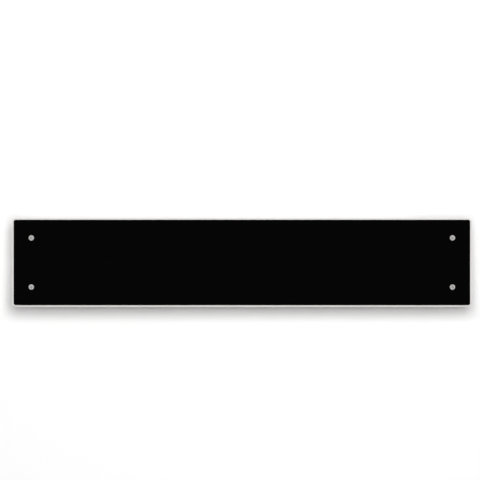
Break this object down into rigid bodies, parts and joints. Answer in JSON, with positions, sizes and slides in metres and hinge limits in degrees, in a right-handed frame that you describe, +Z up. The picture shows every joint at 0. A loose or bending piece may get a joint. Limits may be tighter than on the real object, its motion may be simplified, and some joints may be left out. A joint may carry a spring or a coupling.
{
  "type": "electric radiator",
  "caption": "Low, wide wall-hung electric radiator: black glass front on a slim white casing, finned element, control unit on top, mains switch at the side and a latching wall bracket.",
  "frame": {"origin": "centre of the wall bracket rail's back face, on the wall plane", "axes": "+X to the right seen from the front, along the radiator's length; +Y into the wall, so the front looks along -Y; +Z up"},
  "size_m": [1.19, 0.09, 0.23],
  "materials": {
    "black_glass": "polished black glass",
    "stainless": "turned stainless steel",
    "grommet_rubber": "matt black rubber",
    "zinc_plate": "bright zinc plate",
    "white_paint": "fine textured warm white powder coat",
    "ceramic_bush": "unglazed ceramic",
    "white_plastic": "moulded off-white plastic",
    "aluminium": "mill-finish extrusion",
    "black_plastic": "fine textured black plastic",
    "circuit_board": "green solder mask",
    "display_window": "smoked clear window",
    "button_plastic": "satin black plastic with a pale icon",
    "relay_case": "moulded blue case",
    "brown_wire": "brown insulation",
    "red_wire": "red heat-resistant insulation",
    "blue_wire": "blue insulation",
    "earth_wire": "green and yellow insulation"
  },
  "bodies": {
    "root": {"front_glass": "black_glass", "glass_screw_upper_left": "stainless", "glass_screw_upper_right": "stainless", "glass_screw_lower_left": "stainless", "glass_screw_lower_right": "stainless", "glass_grommet_upper_left": "grommet_rubber", "glass_grommet_upper_right": "grommet_rubber", "glass_grommet_lower_left": "grommet_rubber", "glass_grommet_lower_right": "grommet_rubber", "rivet_nut_upper_left": "zinc_plate", "rivet_nut_upper_right": "zinc_plate", "rivet_nut_lower_left": "zinc_plate", "rivet_nut_lower_right": "zinc_plate", "front_tray": "white_paint", "rear_panel": "white_paint", "top_grille": "white_paint", "bottom_grille": "white_paint", "rear_screw_1": "zinc_plate", "rear_screw_2": "zinc_plate", "rear_screw_3": "zinc_plate", "rear_screw_4": "zinc_plate", "rear_screw_5": "zinc_plate", "rear_screw_6": "zinc_plate", "end_cap_left": "white_paint", "end_cap_right": "white_paint", "element_bracket_left": "zinc_plate", "element_bracket_right": "zinc_plate", "element_bush_left": "ceramic_bush", "element_bush_right": "ceramic_bush", "bracket_upright_left": "zinc_plate", "bracket_upright_right": "zinc_plate", "bracket_rail": "zinc_plate", "latch_pin_left": "zinc_plate", "latch_pin_right": "zinc_plate", "element_fins": "aluminium", "element_rod": "stainless", "heat_shield": "zinc_plate", "thermal_cutout": "black_plastic", "terminal_block": "white_plastic", "cord_bushing": "black_plastic", "switch_body": "black_plastic", "control_housing": "black_plastic", "control_bezel": "black_plastic", "control_board": "circuit_board", "display_module": "display_window", "power_relay": "relay_case", "wireless_module": "zinc_plate", "air_sensor": "black_plastic", "wire_live": "brown_wire", "wire_switched": "red_wire", "wire_load": "red_wire", "wire_element": "red_wire", "wire_neutral": "blue_wire", "wire_earth": "earth_wire"},
    "rocker": {"switch_rocker": "black_plastic"},
    "up_button": {"button_up": "button_plastic"},
    "down_button": {"button_down": "button_plastic"},
    "select_button": {"button_select": "button_plastic"},
    "left_latch": {"bracket_latch_left": "white_plastic"},
    "right_latch": {"bracket_latch_right": "white_plastic"}
  },
  "joints": [
    {"name": "rocker_tilt", "type": "hinge", "parent": "root", "child": "rocker", "pos_m": [0.5739, -0.0465, -0.035], "axis": [0, -1, 0], "range_deg": [0, 16]},
    {"name": "up_press", "type": "slide", "parent": "root", "child": "up_button", "axis": [0, 0, -1], "range_m": [0, 0.0008], "stiffness_N_per_m": 800, "springref_m": -0.0005},
    {"name": "down_press", "type": "slide", "parent": "root", "child": "down_button", "axis": [0, 0, -1], "range_m": [0, 0.0008], "stiffness_N_per_m": 800, "springref_m": -0.0005},
    {"name": "select_press", "type": "slide", "parent": "root", "child": "select_button", "axis": [0, 0, -1], "range_m": [0, 0.0008], "stiffness_N_per_m": 800, "springref_m": -0.0005},
    {"name": "left_latch_lift", "type": "slide", "parent": "root", "child": "left_latch", "axis": [0, 0, 1], "range_m": [0, 0.008]},
    {"name": "right_latch_lift", "type": "slide", "parent": "root", "child": "right_latch", "axis": [0, 0, 1], "range_m": [0, 0.008]}
  ]
}
